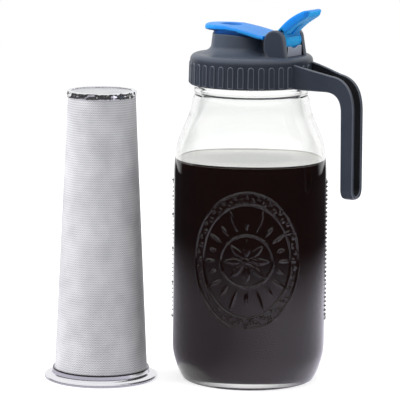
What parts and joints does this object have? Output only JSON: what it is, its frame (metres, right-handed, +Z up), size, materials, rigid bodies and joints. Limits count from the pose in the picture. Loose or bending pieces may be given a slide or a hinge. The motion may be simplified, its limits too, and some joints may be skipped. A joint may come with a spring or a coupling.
{
  "type": "cold brew coffee maker",
  "caption": "Glass jar of cold brew with a screw lid, flip cap, pour spout and carry handle; its tall steel mesh filter stands beside it.",
  "frame": {"origin": "middle of the footprint of jar and filter together, on the surface they stand on", "axes": "+Z up; +X from the jar towards its carry handle, -X towards the pour spout; the cap's hinge runs along Y"},
  "size_m": [0.2274, 0.162, 0.2822],
  "materials": {
    "glass": "clear polished glass",
    "coffee": "dark still liquid",
    "silicone": "soft translucent silicone",
    "slate_plastic": "satin moulded slate grey",
    "pale_plastic": "satin moulded pale grey",
    "blue_plastic": "glossy moulded blue",
    "mesh_steel": "fine woven mesh",
    "polished_steel": "polished stainless steel"
  },
  "bodies": {
    "jar": {"glass_jar": "glass", "coffee": "coffee"},
    "seal": {"lid_seal": "silicone"},
    "lid": {"screw_lid": "slate_plastic", "carry_handle": "slate_plastic", "hinge_block": "pale_plastic"},
    "cap": {"flip_cap": "blue_plastic", "spout_stopper": "silicone"},
    "filter": {"filter_flange": "polished_steel", "filter_mesh": "mesh_steel", "filter_end_rim": "polished_steel", "filter_end_disc": "polished_steel"}
  },
  "joints": [
    {"name": "lid_lift", "type": "slide", "parent": "jar", "child": "seal", "axis": [0, 0, 1], "range_m": [0, 0.12]},
    {"name": "lid_turn", "type": "hinge", "parent": "seal", "child": "lid", "pos_m": [0.02374, 0.02142, 0.2242], "axis": [0, 0, 1], "range_deg": [0, 180]},
    {"name": "cap_flip", "type": "hinge", "parent": "lid", "child": "cap", "pos_m": [0.05374, 0.02142, 0.2582], "axis": [0, 1, 0], "range_deg": [0, 60]},
    {"name": "filter_lift", "type": "slide", "parent": "jar", "child": "filter", "axis": [0, 0, 1], "range_m": [0, 0.29]}
  ]
}
